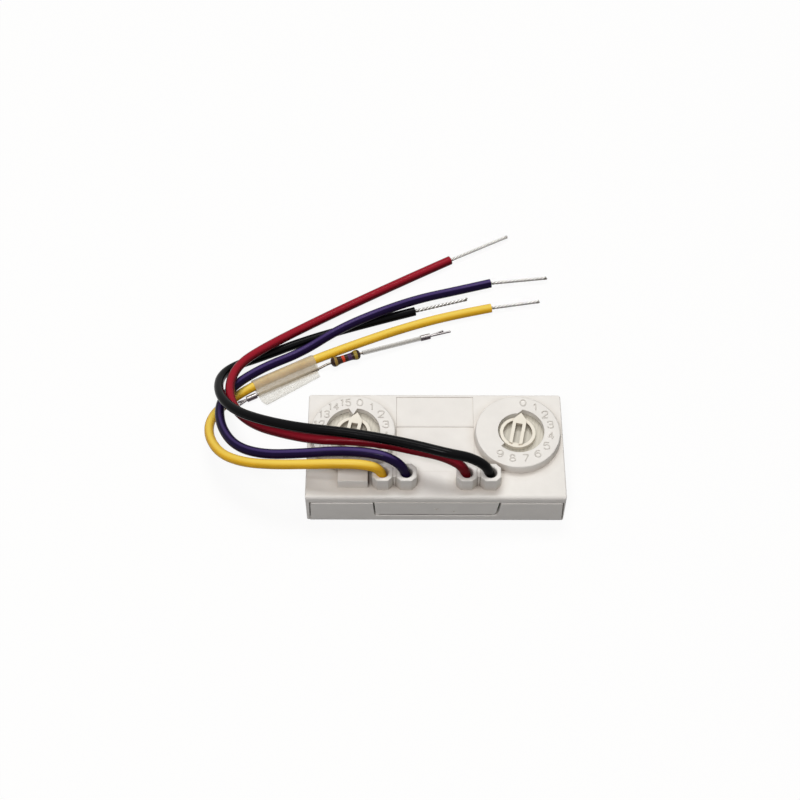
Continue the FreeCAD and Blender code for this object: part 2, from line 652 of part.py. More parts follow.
def knob(x):
    """The knob at its 0 mark: flange, ring cup, two bars, arrow and shaft."""
    flange = post(x, DIAL_Y, FLANGE_BOTTOM_Z, FLANGE_TOP_Z, FLANGE_R)
    ring = post(x, DIAL_Y, FLANGE_TOP_Z, RING_TOP_Z, RING_R)
    hollow = post(x, DIAL_Y, HOLLOW_Z, KNOB_TOP_Z + OVERCUT, RING_R - RING_WALL)
    cup = flange.fuse(ring).cut(hollow)
    inner = post(x, DIAL_Y, HOLLOW_Z, KNOB_TOP_Z, RING_R - RING_WALL + BAR_OVERLAP)
    bars = []
    for side in (-1, 1):
        bar_x = x + side * BAR_OFFSET
        bar = centred_box(bar_x, DIAL_Y, HOLLOW_Z, BAR_WIDTH, 2 * RING_R, KNOB_TOP_Z - HOLLOW_Z)
        bars.append(bar.common(inner))
    tail = box(x - BAR_OFFSET, x + BAR_OFFSET, DIAL_Y - RING_R, DIAL_Y - SLOT_FRONT_R, HOLLOW_Z, RING_TOP_Z)
    outline = [
        (x, DIAL_Y + ARROW_TIP_R),
        (x + ARROW_HALF_WIDTH, DIAL_Y + ARROW_SHOULDER_R),
        (x + ARROW_HALF_WIDTH, DIAL_Y + ARROW_BACK_R),
        (x - ARROW_HALF_WIDTH, DIAL_Y + ARROW_BACK_R),
        (x - ARROW_HALF_WIDTH, DIAL_Y + ARROW_SHOULDER_R),
    ]
    arrow = prism(outline, HOLLOW_Z, KNOB_TOP_Z)
    shaft = post(x, DIAL_Y, ROTOR_BOTTOM_Z, FLANGE_BOTTOM_Z, SHAFT_R)
    whole = cup.fuse(bars + [tail.common(inner), arrow, shaft]).removeSplitter()
    whole.rotate(vec(x, DIAL_Y, 0), vec(0, 0, 1), -HALF_STEP)
    return whole


def switch_pins():
    foot = BOARD_BOTTOM_Z - PIN_STICKOUT
    return [post(x, y, foot, BOARD_TOP_Z, PIN_R) for x, y in all_pin_places()]


# Chips and other small parts on the board: middle of each, on the board's top
CHIP_PLACE = (0.0, 1.5)
CHIP_SIZE = (12.8, 7.5, 2.4)
CHIP_LEADS_PER_SIDE = 10
CHIP_LEAD_PITCH = 1.27
CHIP_LEAD_WIDTH = 0.4
CHIP_LEAD_REACH = 1.4
CHIP_LEAD_THICK = 0.25
CHIP_LEAD_RISE = 1.0
CHIP_STANDOFF = 0.1
DOT_PLACE_INSET = 1.2
DOT_R = 0.45
DOT_DEPTH = 0.15
CAN_PLACE = (-12.2, 9.6)
CAN_R = 2.5
CAN_HEIGHT = 5.2
CAN_FOOT = (5.4, 0.8)
CAN_NECK_R = 2.3
CRYSTAL_PLACE = (11.6, 10.2)
CRYSTAL_SIZE = (7.4, 3.2, 2.2)
CRYSTAL_FLANGE = 0.5
CRYSTAL_FLANGE_THICK = 0.4
DIODE_SIZE = (4.3, 2.6, 2.1)
DIODE_TAB = (0.5, 1.5, 0.3)
DIODE_PLACES = [(-11.9, -6.9), (-1.4, -11.0), (3.8, -6.2), (-5.2, -6.2)]
TRANSISTOR_SIZE = (2.9, 1.4, 1.0)
TRANSISTOR_LEG = (0.4, 0.6, 0.15)
TRANSISTOR_PLACES = [(12.2, 3.0), (12.2, -1.2), (-12.4, 2.2)]
RESISTOR_CHIP_SIZE = (2.0, 1.25, 0.5)
CAPACITOR_CHIP_SIZE = (2.0, 1.25, 1.0)
END_CAP = 0.4
CHIP_ROW_START = -4.5
CHIP_ROW_PITCH = 3.0
CHIP_ROWS = (8.8, 11.2)
RESISTOR_CHIP_PLACES = [(CHIP_ROW_START + CHIP_ROW_PITCH * k, y) for y in CHIP_ROWS for k in range(4)]
CAPACITOR_CHIP_PLACES = [(-12.4, 5.4), (-12.4, -1.4), (12.2, 6.2), (10.8, -4.6)]


def on_board(place, size, lift=0.0):
    x, y = place
    return centred_box(x, y, BOARD_TOP_Z + lift, size[0], size[1], size[2] - lift)


def microcontroller():
    body = on_board(CHIP_PLACE, CHIP_SIZE, CHIP_STANDOFF)
    top = BOARD_TOP_Z + CHIP_SIZE[2]
    x = CHIP_PLACE[0] - CHIP_SIZE[0] / 2 + DOT_PLACE_INSET
    y = CHIP_PLACE[1] - CHIP_SIZE[1] / 2 + DOT_PLACE_INSET
    return body.cut(post(x, y, top - DOT_DEPTH, top + OVERCUT, DOT_R))


def microcontroller_leads():
    """Gull-wing leads down both long sides of the chip."""
    leads = []
    for side in (-1, 1):
        edge = CHIP_PLACE[1] + side * CHIP_SIZE[1] / 2
        for k in range(CHIP_LEADS_PER_SIDE):
            x = CHIP_PLACE[0] + (k - (CHIP_LEADS_PER_SIDE - 1) / 2) * CHIP_LEAD_PITCH
            reach = side * CHIP_LEAD_REACH
            mid = edge + reach / 2
            foot = centred_box(x, edge + 0.75 * reach, BOARD_TOP_Z, CHIP_LEAD_WIDTH, CHIP_LEAD_REACH / 2, CHIP_LEAD_THICK)
            riser = centred_box(x, mid, BOARD_TOP_Z, CHIP_LEAD_WIDTH, CHIP_LEAD_THICK, CHIP_LEAD_RISE)
            arm_z = BOARD_TOP_Z + CHIP_LEAD_RISE - CHIP_LEAD_THICK
            arm = centred_box(x, (edge + mid) / 2, arm_z, CHIP_LEAD_WIDTH, abs(mid - edge), CHIP_LEAD_THICK)
            leads.append(foot.fuse([riser, arm]).removeSplitter())
    return leads


def smoothing_capacitor():
    """A can capacitor on its square foot."""
    x, y = CAN_PLACE
    side, thick = CAN_FOOT
    foot = centred_box(x, y, BOARD_TOP_Z, side, side, thick)
    neck = post(x, y, BOARD_TOP_Z + thick, BOARD_TOP_Z + 2 * thick, CAN_NECK_R)
    can = post(x, y, BOARD_TOP_Z + 2 * thick, BOARD_TOP_Z + CAN_HEIGHT, CAN_R)
    return foot.fuse([neck, can])


def crystal():
    flange = on_board(CRYSTAL_PLACE, (CRYSTAL_SIZE[0] + CRYSTAL_FLANGE, CRYSTAL_SIZE[1] + CRYSTAL_FLANGE, CRYSTAL_FLANGE_THICK))
    can = on_board(CRYSTAL_PLACE, CRYSTAL_SIZE)
    can = can.makeFillet(CRYSTAL_SIZE[1] / 3, [e for e in can.Edges if upright(e)])
    return flange.fuse(can)


def diode(place):
    body = on_board(place, DIODE_SIZE)
    tabs = []
    for side in (-1, 1):
        x = place[0] + side * (DIODE_SIZE[0] + DIODE_TAB[0]) / 2
        tabs.append(centred_box(x, place[1], BOARD_TOP_Z, *DIODE_TAB))
    return body.fuse(tabs)


def transistor(place):
    body = on_board(place, TRANSISTOR_SIZE)
    reach = (TRANSISTOR_SIZE[1] + TRANSISTOR_LEG[1]) / 2
    third = TRANSISTOR_SIZE[0] / 3
    legs = []
    for dx, dy in ((-third, -reach), (third, -reach), (0, reach)):
        legs.append(centred_box(place[0] + dx, place[1] + dy, BOARD_TOP_Z, *TRANSISTOR_LEG))
    return body.fuse(legs)


def chip_part(place, size):
    """A two-ended chip whose end caps stand a little proud of its middle."""
    body = on_board(place, (size[0] - 2 * END_CAP, size[1] * 0.96, size[2] * 0.92))
    caps = []
    for side in (-1, 1):
        x = place[0] + side * (size[0] - END_CAP) / 2
        caps.append(centred_box(x, place[1], BOARD_TOP_Z, END_CAP, size[1], size[2]))
    return body.fuse(caps)


def wire_tail(hole):
    """The insulated stub that stands in a boss, from above the board to the lead."""
    x, y, z = hole
    return post(x, y, TAIL_FOOT_Z, z, WIRE_R)


def tail_core(hole):
    x, y, z = hole
    return post(x, y, BOARD_BOTTOM_Z - CORE_STICKOUT, TAIL_FOOT_Z, CORE_R)


def rounded_path(points):
    """Straight runs joined by tangent arcs, with the least radius."""
    corners = [vec(*p) for p in points]
    edges = []
    radii = []
    here = corners[0]
    for before, corner, after in zip(corners, corners[1:], corners[2:]):
        back, ahead = before - corner, after - corner
        reach = CHORD_SHARE * min(back.Length, ahead.Length)
        back.normalize()
        ahead.normalize()
        turn = math.pi - back.getAngle(ahead)
        radius = reach / math.tan(turn / 2)
        start, end = corner + back * reach, corner + ahead * reach
        inward = back + ahead
        inward.normalize()
        middle = corner + inward * (radius / math.cos(turn / 2) - radius)
        edges.append(Part.LineSegment(here, start).toShape())
        edges.append(Part.Arc(start, middle, end).toShape())
        radii.append(radius)
        here = end
    edges.append(Part.LineSegment(here, corners[-1]).toShape())
    return Part.Wire(edges), radii


def tube(points, radius):
    """A round tube along the path, and the path's wire and radii."""
    path, radii = rounded_path(points)
    first = vec(*points[1]) - vec(*points[0])
    ring = Part.Wire(Part.makeCircle(radius, vec(*points[0]), first))
    return path.makePipeShell([ring], True, False), path, radii


def lead_wire(colour):
    solid, path, radii = tube(ROUTES[colour], WIRE_R)
    share = solid.Volume / (math.pi * WIRE_R**2 * path.Length)
    print("%s lead: length %.1f, volume over section x length %.4f" % (colour, path.Length, share))
    print("  radii " + " ".join("%.1f" % r for r in radii))
    return solid


def lead_core(colour):
    """The bare conductor, from the end of the insulation to its free tip."""
    return rod(ROUTES[colour][-1], TIPS[colour], CORE_R)


def unit(start, end):
    line = vec(*end) - vec(*start)
    line.normalize()
    return line


def end_of_line_resistor():
    """A dumbbell body: two bevelled caps on a narrower barrel."""
    a = vec(*RESISTOR_LEFT)
    axis = unit(RESISTOR_LEFT, RESISTOR_RIGHT)
    length = (vec(*RESISTOR_RIGHT) - a).Length
    b, w, c = RESISTOR_BEVEL, RESISTOR_WAIST_R, RESISTOR_CAP_R
    e = RESISTOR_CAP_LENGTH
    half = [(0, 0), (c - b, 0), (c, b), (c, e - b), (w, e)]
    outline = half + [(r, length - z) for r, z in reversed(half)]
    corners = [vec(r, 0, z) for r, z in outline]
    face = Part.Face(Part.makePolygon(corners + corners[:1]))
    body = face.revolve(vec(0, 0, 0), vec(0, 0, 1), 360)
    body.Placement = FreeCAD.Placement(a, FreeCAD.Rotation(vec(0, 0, 1), axis))
    return body


def tape_frame():
    """Where the tape starts on the yellow lead, its direction and its front side."""
    start, end = vec(*YELLOW_ROUTE[11]), vec(*YELLOW_ROUTE[12])
    along = end - start
    along.normalize()
    start = start + along * ((TAPE_START_X - start.x) / along.x)
    front = vec(along.y, -along.x, 0)
    return start, along, front


def tape_point(distance, offset, z):
    start, along, front = tape_frame()
    p = start + along * distance + front * offset
    return (p.x, p.y, z)


def left_lead_points():
    """From the splice left of the tape, through the tape, to the resistor's left end."""
    axis = unit(RESISTOR_LEFT, RESISTOR_RIGHT)
    left = vec(*RESISTOR_LEFT)
    inside = left + axis * LEAD_INSERT
    outside = left - axis * LEAD_NECK
    return [
        tape_point(-LEAD_STICKOUT, TAPE_LEAD_OFFSET, TAPE_LEAD_Z),
        tape_point(TAPE_LENGTH + LEAD_STICKOUT, TAPE_LEAD_OFFSET, TAPE_LEAD_Z),
        (outside.x, outside.y, outside.z),
        (inside.x, inside.y, inside.z),
    ]


def right_lead():
    axis = unit(RESISTOR_RIGHT, SLEEVE_END)
    start = vec(*RESISTOR_RIGHT) - axis * LEAD_INSERT
    return rod((start.x, start.y, start.z), SLEEVE_END, LEAD_R)


def lead_sleeve():
    """The pale tube over the right lead, from just past the resistor."""
    axis = unit(RESISTOR_RIGHT, SLEEVE_END)
    start = vec(*RESISTOR_RIGHT) + axis * SLEEVE_SETBACK
    length = (vec(*SLEEVE_END) - start).Length - SLEEVE_END_GAP
    outer = Part.makeCylinder(SLEEVE_R, length, start, axis)
    bore = Part.makeCylinder(LEAD_R + SLEEVE_BORE_CLEARANCE, length + 2 * OVERCUT, start - axis * OVERCUT, axis)
    return outer.cut(bore)


def right_splice():
    """The splice on the right lead, with its two wire prongs."""
    solid = rod(SLEEVE_END, RIGHT_SPLICE_END, SPLICE_R)
    back = vec(*RIGHT_SPLICE_END) - unit(SLEEVE_END, RIGHT_SPLICE_END) * PRONG_INSERT
    prongs = [rod((back.x, back.y, back.z), tip, PRONG_R) for tip in RIGHT_PRONG_TIPS]
    return solid.fuse(prongs)


def left_splice():
    """The splice left of the tape, with its two wire prongs."""
    height = SPLICE_R + TABLE_GAP
    far = LEAD_STICKOUT + LEFT_SPLICE_LENGTH
    near_end = tape_point(-LEAD_STICKOUT, TAPE_LEAD_OFFSET, height)
    solid = rod(near_end, tape_point(-far, TAPE_LEAD_OFFSET, height), SPLICE_R)
    prongs = []
    for side in (-1, 1):
        root = tape_point(PRONG_INSERT - far, TAPE_LEAD_OFFSET, TAPE_LEAD_Z)
        reach = -far - LEFT_PRONG_LENGTH
        tip = tape_point(reach, TAPE_LEAD_OFFSET + side * LEFT_PRONG_SPREAD, TAPE_LEAD_Z - PRONG_R)
        prongs.append(rod(root, tip, PRONG_R))
    return solid.fuse(prongs)


def hull_of_two(centre_a, radius_a, centre_b, radius_b):
    """The closed outline round two circles, as a face across the tape."""
    (ax, az), (bx, bz) = centre_a, centre_b
    gap = math.hypot(bx - ax, bz - az)
    tilt = math.atan2(bz - az, bx - ax)
    lean = math.acos((radius_a - radius_b) / gap)

    def on(cx, cz, r, angle):
        return vec(cx + r * math.cos(angle), cz + r * math.sin(angle), 0)

    a_up, a_down = on(ax, az, radius_a, tilt + lean), on(ax, az, radius_a, tilt - lean)
    b_up, b_down = on(bx, bz, radius_b, tilt + lean), on(bx, bz, radius_b, tilt - lean)
    edges = [
        Part.Arc(a_up, on(ax, az, radius_a, tilt + math.pi), a_down).toShape(),
        Part.LineSegment(a_down, b_down).toShape(),
        Part.Arc(b_down, on(bx, bz, radius_b, tilt), b_up).toShape(),
        Part.LineSegment(b_up, a_up).toShape(),
    ]
    return Part.Face(Part.Wire(edges))


def adhesive_tape():
    """A closed band round the lead and the wire, with a flat flag along its front."""
    start, along, front = tape_frame()
    wire_at = (0, start.z)
    lead_at = (TAPE_LEAD_OFFSET, TAPE_LEAD_Z)
    wire_r = WIRE_R + TAPE_CLEARANCE
    lead_r = LEAD_R + TAPE_CLEARANCE
    band = hull_of_two(wire_at, wire_r + TAPE_THICK, lead_at, lead_r + TAPE_THICK).extrude(vec(0, 0, -TAPE_LENGTH))
    room = hull_of_two(wire_at, wire_r, lead_at, lead_r).extrude(vec(0, 0, -TAPE_LENGTH - 2 * OVERCUT))
    room.translate(vec(0, 0, OVERCUT))
    flag_x = TAPE_LEAD_OFFSET + lead_r + TAPE_THICK / 2
    flag_z = TAPE_LEAD_Z - FLAG_THICK / 2
    flag_corners = [
        (flag_x, 0),
        (flag_x + FLAG_WIDTH, -FLAG_START_SLANT),
        (flag_x + FLAG_WIDTH - FLAG_END_RISE, FLAG_END_SETBACK - TAPE_LENGTH),
        (flag_x, FLAG_END_SETBACK - TAPE_LENGTH),
    ]
    ring = [vec(x, flag_z, z) for x, z in flag_corners]
    flag = Part.Face(Part.makePolygon(ring + ring[:1])).extrude(vec(0, FLAG_THICK, 0))
    whole = band.fuse(flag).cut(room).removeSplitter()
    turn = FreeCAD.Rotation(front, vec(0, 0, 1), along * -1, "XYZ")
    whole.Placement = FreeCAD.Placement(vec(start.x, start.y, 0), turn)
    return whole


def main():
    os.makedirs("parts", exist_ok=True)
    save("cover", cover())
    save("base", base())
    save("circuit_board", circuit_board())
    for name, x in DIALS.items():
        save(name + "_knob", knob(x))
        save(name + "_contact_rotor", contact_rotor(x))
        save(name + "_switch_body", switch_body(x))
        save(name + "_switch_lid", switch_lid(x))
    save("switch_pins", *switch_pins())
    save("solder_joints", *solder_joints())
    save("microcontroller", microcontroller())
    save("microcontroller_leads", *microcontroller_leads())
    save("smoothing_capacitor", smoothing_capacitor())
    save("crystal", crystal())
    save("diodes", *[diode(p) for p in DIODE_PLACES])
    save("transistors", *[transistor(p) for p in TRANSISTOR_PLACES])
    save("chip_resistors", *[chip_part(p, RESISTOR_CHIP_SIZE) for p in RESISTOR_CHIP_PLACES])
    save("chip_capacitors", *[chip_part(p, CAPACITOR_CHIP_SIZE) for p in CAPACITOR_CHIP_PLACES])
    save("tail_cores", *[tail_core(h) for h in HOLES.values()])
    for colour, hole in HOLES.items():
        save(colour + "_wire_tail", wire_tail(hole))
        save(colour + "_wire", lead_wire(colour))
        save(colour + "_wire_end", lead_core(colour))
    save("end_of_line_resistor", end_of_line_resistor())
    left_lead, path, radii = tube(left_lead_points(), LEAD_R)
    save("resistor_leads", left_lead, right_lead())
    save("lead_sleeve", lead_sleeve())
    save("lead_splices", left_splice(), right_splice())
    save("adhesive_tape", adhesive_tape())


main()
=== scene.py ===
import json
import math

import bmesh
import bpy
from mathutils import Matrix, Vector


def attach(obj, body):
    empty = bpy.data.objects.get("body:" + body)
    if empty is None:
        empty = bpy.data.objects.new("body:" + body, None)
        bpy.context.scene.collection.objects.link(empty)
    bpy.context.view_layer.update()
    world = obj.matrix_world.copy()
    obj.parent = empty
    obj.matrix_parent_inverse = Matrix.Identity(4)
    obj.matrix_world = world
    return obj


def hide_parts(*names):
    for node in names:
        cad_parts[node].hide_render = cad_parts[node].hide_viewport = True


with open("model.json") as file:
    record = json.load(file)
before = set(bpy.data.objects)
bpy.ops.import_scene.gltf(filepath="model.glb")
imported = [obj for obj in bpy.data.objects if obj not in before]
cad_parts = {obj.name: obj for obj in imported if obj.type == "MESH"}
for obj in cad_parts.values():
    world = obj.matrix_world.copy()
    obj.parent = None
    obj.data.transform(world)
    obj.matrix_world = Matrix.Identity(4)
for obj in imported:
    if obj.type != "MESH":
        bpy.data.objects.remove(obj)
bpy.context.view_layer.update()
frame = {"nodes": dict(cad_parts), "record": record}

MM = 0.001
scene = bpy.context.scene
scene.view_settings.view_transform = "Standard"

# Sizes shared with the solids, in millimetres
WIRE_R = 1.35
WIRE_START_Z = 12.0
BOSS_Y = -11.3
DISC_TOP_Z = 14.4
DIAL_X, DIAL_Y = 22.45, 3.05
STEP_ANGLE = 22.5
NUMERAL_R = 9.1
NUMERAL_SHIFT_Y = 0.42
TWO_DIGIT_SHIFT_X = -0.5
NUMERAL_HEIGHT, NUMERAL_WIDTH = 2.1, 1.65
NUMERAL_STROKE = 0.19


# Camera, fitted to the housing's corners

FOCAL_PX = 1539.8
SENSOR_MM = 36.0
IMAGE_PX = 800
CAMERA_AT = Vector((-9.46, -225.39, 365.38)) * MM
LOOK_AT = Vector((-9.64, 23.04, 0.0)) * MM
ROLL = math.radians(0.095)

camera_data = bpy.data.cameras.new("camera")
camera_data.sensor_width = SENSOR_MM
camera_data.lens = FOCAL_PX * SENSOR_MM / IMAGE_PX
camera_data.clip_start = 0.01
camera_data.clip_end = 50
camera = bpy.data.objects.new("camera", camera_data)
scene.collection.objects.link(camera)
camera.location = CAMERA_AT
aim = (LOOK_AT - CAMERA_AT).to_track_quat("-Z", "Y")
camera.rotation_euler = (aim.to_matrix() @ Matrix.Rotation(ROLL, 3, "Z")).to_euler()
scene.camera = camera


# Materials

def new_material(name):
    mat = bpy.data.materials.new(name)
    mat.use_nodes = True
    tree = mat.node_tree
    shader = tree.nodes["Principled BSDF"]
    return mat, tree, shader


NOISE_ROUGHNESS = 0.55
NOISE_LOW, NOISE_HIGH = 0.3, 0.7


def coordinates(tree):
    return tree.nodes.new("ShaderNodeTexCoord").outputs["Object"]


def noise(tree, scale, detail=3.0):
    """Noise in object space; scale is in cells per metre."""
    node = tree.nodes.new("ShaderNodeTexNoise")
    node.inputs["Scale"].default_value = scale
    node.inputs["Detail"].default_value = detail
    node.inputs["Roughness"].default_value = NOISE_ROUGHNESS
    tree.links.new(coordinates(tree), node.inputs["Vector"])
    return node.outputs["Fac"]


def ramp(tree, factor, stops, constant=False):
    node = tree.nodes.new("ShaderNodeValToRGB")
    elements = node.color_ramp.elements
    while len(elements) < len(stops):
        elements.new(0.5)
    for element, (place, colour) in zip(elements, stops):
        element.position = place
        element.color = tuple(colour) + (1.0,)
    if constant:
        node.color_ramp.interpolation = "CONSTANT"
    tree.links.new(factor, node.inputs["Fac"])
    return node.outputs["Color"]


def mapped(tree, value, source, target=(0.0, 1.0), smooth=False):
    """Carries a value from one span to another, and holds it at the ends."""
    node = tree.nodes.new("ShaderNodeMapRange")
    if smooth:
        node.interpolation_type = "SMOOTHSTEP"
    node.inputs["From Min"].default_value, node.inputs["From Max"].default_value = source
    node.inputs["To Min"].default_value, node.inputs["To Max"].default_value = target
    tree.links.new(value, node.inputs["Value"])
    return node.outputs["Result"]


def spread(tree, factor, low, high):
    """Spreads the usual range of a noise between two values."""
    return mapped(tree, factor, (NOISE_LOW, NOISE_HIGH), (low, high))


def mottled(tree, factor, low, high):
    """Blends two colours over the usual range of a noise."""
    return ramp(tree, factor, [(NOISE_LOW, low), (NOISE_HIGH, high)])


def mixed(tree, share, first, second, blend="MIX"):
    """Mixes two colours; the second is a socket or a plain colour."""
    node = tree.nodes.new("ShaderNodeMix")
    node.data_type = "RGBA"
    node.blend_type = blend
    tree.links.new(share, node.inputs["Factor"])
    tree.links.new(first, node.inputs["A"])
    if isinstance(second, tuple):
        node.inputs["B"].default_value = second + (1,)
    else:
        tree.links.new(second, node.inputs["B"])
    return node.outputs["Result"]


def maths(tree, operation, first, second):
    """One operation on two values; the second is a socket or a plain number."""
    node = tree.nodes.new("ShaderNodeMath")
    node.operation = operation
    tree.links.new(first, node.inputs[0])
    if isinstance(second, float):
        node.inputs[1].default_value = second
    else:
        tree.links.new(second, node.inputs[1])
    return node.outputs["Value"]


def bump(tree, factor, strength, distance, under=None):
    node = tree.nodes.new("ShaderNodeBump")
    node.inputs["Strength"].default_value = strength
    node.inputs["Distance"].default_value = distance
    tree.links.new(factor, node.inputs["Height"])
    if under is not None:
        tree.links.new(under, node.inputs["Normal"])
    return node.outputs["Normal"]


def soft_edges(tree, radius):
    node = tree.nodes.new("ShaderNodeBevel")
    node.samples = 4
    node.inputs["Radius"].default_value = radius
    return node.outputs["Normal"]


# Painted shade in creases, holes and on metals, and painted highlights along crests: tints, reaches in
# millimetres, and the spans over which each tint comes in
# Painted shade: a warm tint in the creases of mouldings and a dark one in their deep holes
CREASE_SHADE_TINT = (0.76, 0.71, 0.66)
HOLE_SHADE_TINT = (0.22, 0.19, 0.17)
CREASE_SHADE_REACH = 3.0
CREASE_SHADE_SPAN, HOLE_SHADE_SPAN = (1.0, 0.35), (0.48, 0.20)
# Painted shade on metals where something is near, and the span of their painted highlight along the crest
CONTACT_SHADE_REACH = 1.5
CONTACT_SHADE_SPAN = (0.9, 0.35)
HIGHLIGHT_SPAN = (0.70, 0.95)
METAL_SCALE, METAL_TONE_SCALE = 2600, 1040
VINYL_SPECULAR, COATING_SPECULAR, PLASTIC_SPECULAR = 0.05, 0.15, 0.4


def shade(colour, factor):
    return tuple(min(1.0, c * factor) for c in colour)


def sheltered_mix(tree, tint, other, distance, span, local, blend):
    """Paints shade: mixes in another colour where a surface is sheltered by what is near it."""
    near = tree.nodes.new("ShaderNodeAmbientOcclusion")
    near.samples = 8
    near.only_local = local
    near.inputs["Distance"].default_value = distance * MM
    return mixed(tree, mapped(tree, near.outputs["AO"], span), tint, other, blend)


def crest_mix(tree, tint, crest, span):
    """Paints a highlight: mixes in another colour on the side of a wire that faces up."""
    facing = tree.nodes.new("ShaderNodeSeparateXYZ")
    tree.links.new(tree.nodes.new("ShaderNodeTexCoord").outputs["Normal"], facing.inputs["Vector"])
    return mixed(tree, mapped(tree, facing.outputs["Z"], span, smooth=True), tint, crest)


def grimy_creases(tree, tint):
    """Paints a warm shade into the inner corners of a moulding, and a darker painted shade into its deep
    holes.
    """
    tint = sheltered_mix(tree, tint, CREASE_SHADE_TINT, CREASE_SHADE_REACH, CREASE_SHADE_SPAN, local=True, blend="MULTIPLY")
    return sheltered_mix(tree, tint, HOLE_SHADE_TINT, CREASE_SHADE_REACH, HOLE_SHADE_SPAN, local=True, blend="MULTIPLY")


def moulded_plastic(name, colour, roughness=0.42, grain=0.05, edge=0.00018):
    """Moulded plastic: faint flow mottling, fine grain, softened edges, and a painted warm, darker shade in
    the creases.
    """
    mat, tree, shader = new_material(name)
    mottle = noise(tree, 160, 4)
    # painted shade in the creases and holes over the mottled colour
    tint = grimy_creases(tree, mottled(tree, mottle, shade(colour, 0.965), shade(colour, 1.02)))
    tree.links.new(tint, shader.inputs["Base Color"])
    rough = spread(tree, noise(tree, 420, 3), roughness - 0.05, roughness + 0.06)
    tree.links.new(rough, shader.inputs["Roughness"])
    wave = bump(tree, noise(tree, 260, 2), 0.04, 0.0002, soft_edges(tree, edge))
    fine = bump(tree, noise(tree, 5200, 2), grain, 0.0001, wave)
    tree.links.new(fine, shader.inputs["Normal"])
    shader.inputs["Specular IOR Level"].default_value = PLASTIC_SPECULAR
    return mat


def knob_plastic(name, colour, sunk_shade):
    """The knobs: one tone on top, and a darker, greyer tone with fine ribs on the sunk floors, painted shade
    there.
    """
    mat = moulded_plastic(name, colour, roughness=0.36, edge=0.00014)
    tree = mat.node_tree
    shader = tree.nodes["Principled BSDF"]
    top_tint = shader.inputs["Base Color"].links[0].from_socket
    top_normal = shader.inputs["Normal"].links[0].from_socket
    place = tree.nodes.new("ShaderNodeSeparateXYZ")
    tree.links.new(coordinates(tree), place.inputs["Vector"])
    sunk_span = (KNOB_SUNK_Z - KNOB_SUNK_BLEND) * MM, (KNOB_SUNK_Z + KNOB_SUNK_BLEND) * MM
    sunk = mapped(tree, place.outputs["Z"], sunk_span, (1.0, 0.0))
    turned = tree.nodes.new("ShaderNodeMapping")
    turned.inputs["Rotation"].default_value = (0, 0, math.radians(STEP_ANGLE / 2))
    tree.links.new(coordinates(tree), turned.inputs["Vector"])
    ribs = tree.nodes.new("ShaderNodeTexWave")
    ribs.inputs["Scale"].default_value = 330
    ribs.inputs["Distortion"].default_value = 0.4
    tree.links.new(turned.outputs["Vector"], ribs.inputs["Vector"])
    rib_tints = [(0.0, shade(sunk_shade, 0.93)), (1.0, shade(sunk_shade, 1.04))]
    ribbed = ramp(tree, ribs.outputs["Fac"], rib_tints)
    tree.links.new(mixed(tree, sunk, top_tint, ribbed), shader.inputs["Base Color"])
    depth = maths(tree, "MULTIPLY", sunk, ribs.outputs["Fac"])
    tree.links.new(bump(tree, depth, 0.35, 0.0001, top_normal), shader.inputs["Normal"])
    return mat


def vinyl(name, colour, crest, span=(0.60, 1.0), roughness=0.13):
    """Wire insulation: glossy vinyl with a painted highlight along its crest, faint strand ripples and
    scuffs.
    """
    mat, tree, shader = new_material(name)
    tone = noise(tree, 95, 3)
    tint = crest_mix(tree, mottled(tree, tone, shade(colour, 0.86), shade(colour, 1.1)), crest, span)
    tree.links.new(tint, shader.inputs["Base Color"])
    rough = spread(tree, noise(tree, 900, 3), roughness - 0.04, roughness + 0.06)
    tree.links.new(rough, shader.inputs["Roughness"])
    ripple = bump(tree, noise(tree, 640, 2), 0.05, 0.00012)
    scuff = bump(tree, noise(tree, 4200, 3), 0.015, 0.00005, ripple)
    tree.links.new(scuff, shader.inputs["Normal"])
    shader.inputs["Specular IOR Level"].default_value = VINYL_SPECULAR
    return mat


def metal(name, colour, roughness=0.3, grain=0.12, painted_shade=None):
    """Metal with a fine drawn or tinned surface; given a painted shade colour, it is painted dark but for a
    painted highlight along its crest, and darker where something near shelters it.
    """
    mat, tree, shader = new_material(name)
    tone = noise(tree, METAL_TONE_SCALE, 4)
    if painted_shade:
        # Painted shade on the sides and where something near shelters the metal, painted highlight along the
        # crest
        shaded_tone = mottled(tree, tone, shade(painted_shade, 0.6), shade(painted_shade, 1.4))
        tint = crest_mix(tree, shaded_tone, colour, HIGHLIGHT_SPAN)
        tint = sheltered_mix(tree, tint, painted_shade, CONTACT_SHADE_REACH, CONTACT_SHADE_SPAN, local=False, blend="MIX")
    else:
        tint = mottled(tree, tone, shade(colour, 0.8), shade(colour, 1.08))
    tree.links.new(tint, shader.inputs["Base Color"])
    rough = spread(tree, noise(tree, METAL_SCALE, 3), roughness - 0.08, roughness + 0.12)
    tree.links.new(rough, shader.inputs["Roughness"])
    tree.links.new(bump(tree, noise(tree, METAL_SCALE, 2), grain, 0.00005), shader.inputs["Normal"])
    shader.inputs["Metallic"].default_value = 1.0
    return mat


